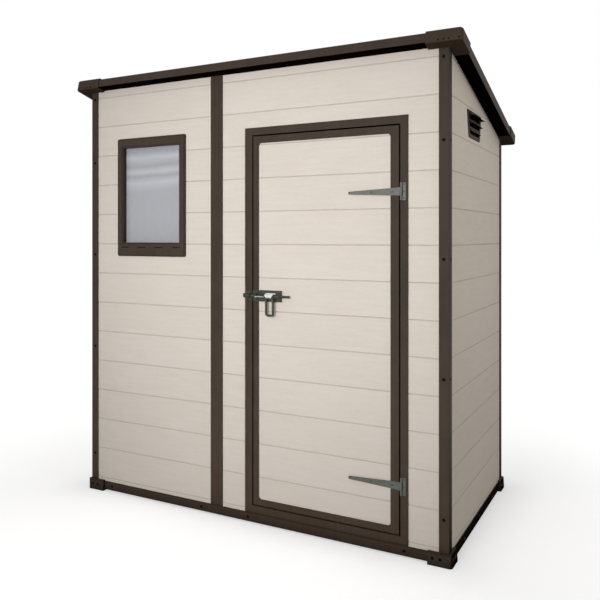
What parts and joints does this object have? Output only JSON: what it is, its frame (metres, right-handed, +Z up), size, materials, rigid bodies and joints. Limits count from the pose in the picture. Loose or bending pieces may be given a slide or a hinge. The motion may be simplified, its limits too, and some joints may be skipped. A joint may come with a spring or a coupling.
{
  "type": "plastic garden shed",
  "caption": "Plastic garden shed with planked panels, dark posts and trim, a mono-pitch roof, a hinged door with a sliding latch, and a fixed window.",
  "frame": {"origin": "under the middle of the building at ground level", "axes": "+Z up, -Y out of the front wall with the door, +X towards the hinge side of the door"},
  "size_m": [1.84, 1.152, 1.998],
  "materials": {
    "wall_plastic": "matte, wood-grain moulded",
    "trim_plastic": "matte",
    "roof_plastic": "matte",
    "floor_plastic": "matte",
    "galvanised_steel": "dull galvanised",
    "latch_metal": "satin",
    "pane_plastic": "translucent"
  },
  "bodies": {
    "shell": {"floor_panel_left": "floor_plastic", "floor_panel_right": "floor_plastic", "base_rail_front": "trim_plastic", "base_rail_back": "trim_plastic", "base_rail_left": "trim_plastic", "base_rail_right": "trim_plastic", "corner_feet": "trim_plastic", "corner_post_front_left": "trim_plastic", "corner_post_front_right": "trim_plastic", "corner_post_back_left": "trim_plastic", "corner_post_back_right": "trim_plastic", "front_mid_post": "trim_plastic", "back_mid_post": "trim_plastic", "front_wall_window_panel": "wall_plastic", "front_wall_beside_door_left": "wall_plastic", "front_wall_beside_door_right": "wall_plastic", "front_wall_over_door": "wall_plastic", "back_wall_left": "wall_plastic", "back_wall_right": "wall_plastic", "side_wall_left": "wall_plastic", "side_wall_right": "wall_plastic", "door_jamb_left": "trim_plastic", "door_jamb_right": "trim_plastic", "door_head": "trim_plastic", "door_sill": "trim_plastic", "window_frame": "trim_plastic", "window_pane": "pane_plastic", "vent_left": "trim_plastic", "vent_right": "trim_plastic", "roof_panel_left": "roof_plastic", "roof_panel_right": "roof_plastic", "roof_fascia_front": "trim_plastic", "roof_fascia_back": "trim_plastic", "roof_trim_left": "trim_plastic", "roof_trim_right": "trim_plastic", "roof_corner_caps": "trim_plastic", "hinge_butts": "galvanised_steel", "latch_keep": "latch_metal"},
    "door": {"door_panel": "wall_plastic", "door_leaf_frame": "trim_plastic", "hinge_straps": "galvanised_steel", "latch_plate": "latch_metal", "latch_guides": "latch_metal"},
    "bolt": {"latch_bolt": "latch_metal"},
    "loop": {"latch_loop": "latch_metal"}
  },
  "joints": [
    {"name": "door_hinge", "type": "hinge", "parent": "shell", "child": "door", "pos_m": [0.6815, -0.5315, 0.85], "axis": [0, 0, 1], "range_deg": [0, 165]},
    {"name": "bolt_slide", "type": "slide", "parent": "door", "child": "bolt", "axis": [-1, 0, 0], "range_m": [0, 0.026]},
    {"name": "loop_swing", "type": "hinge", "parent": "bolt", "child": "loop", "pos_m": [0.1225, -0.543, 0.981], "axis": [-1, 0, 0], "range_deg": [0, 90]}
  ]
}
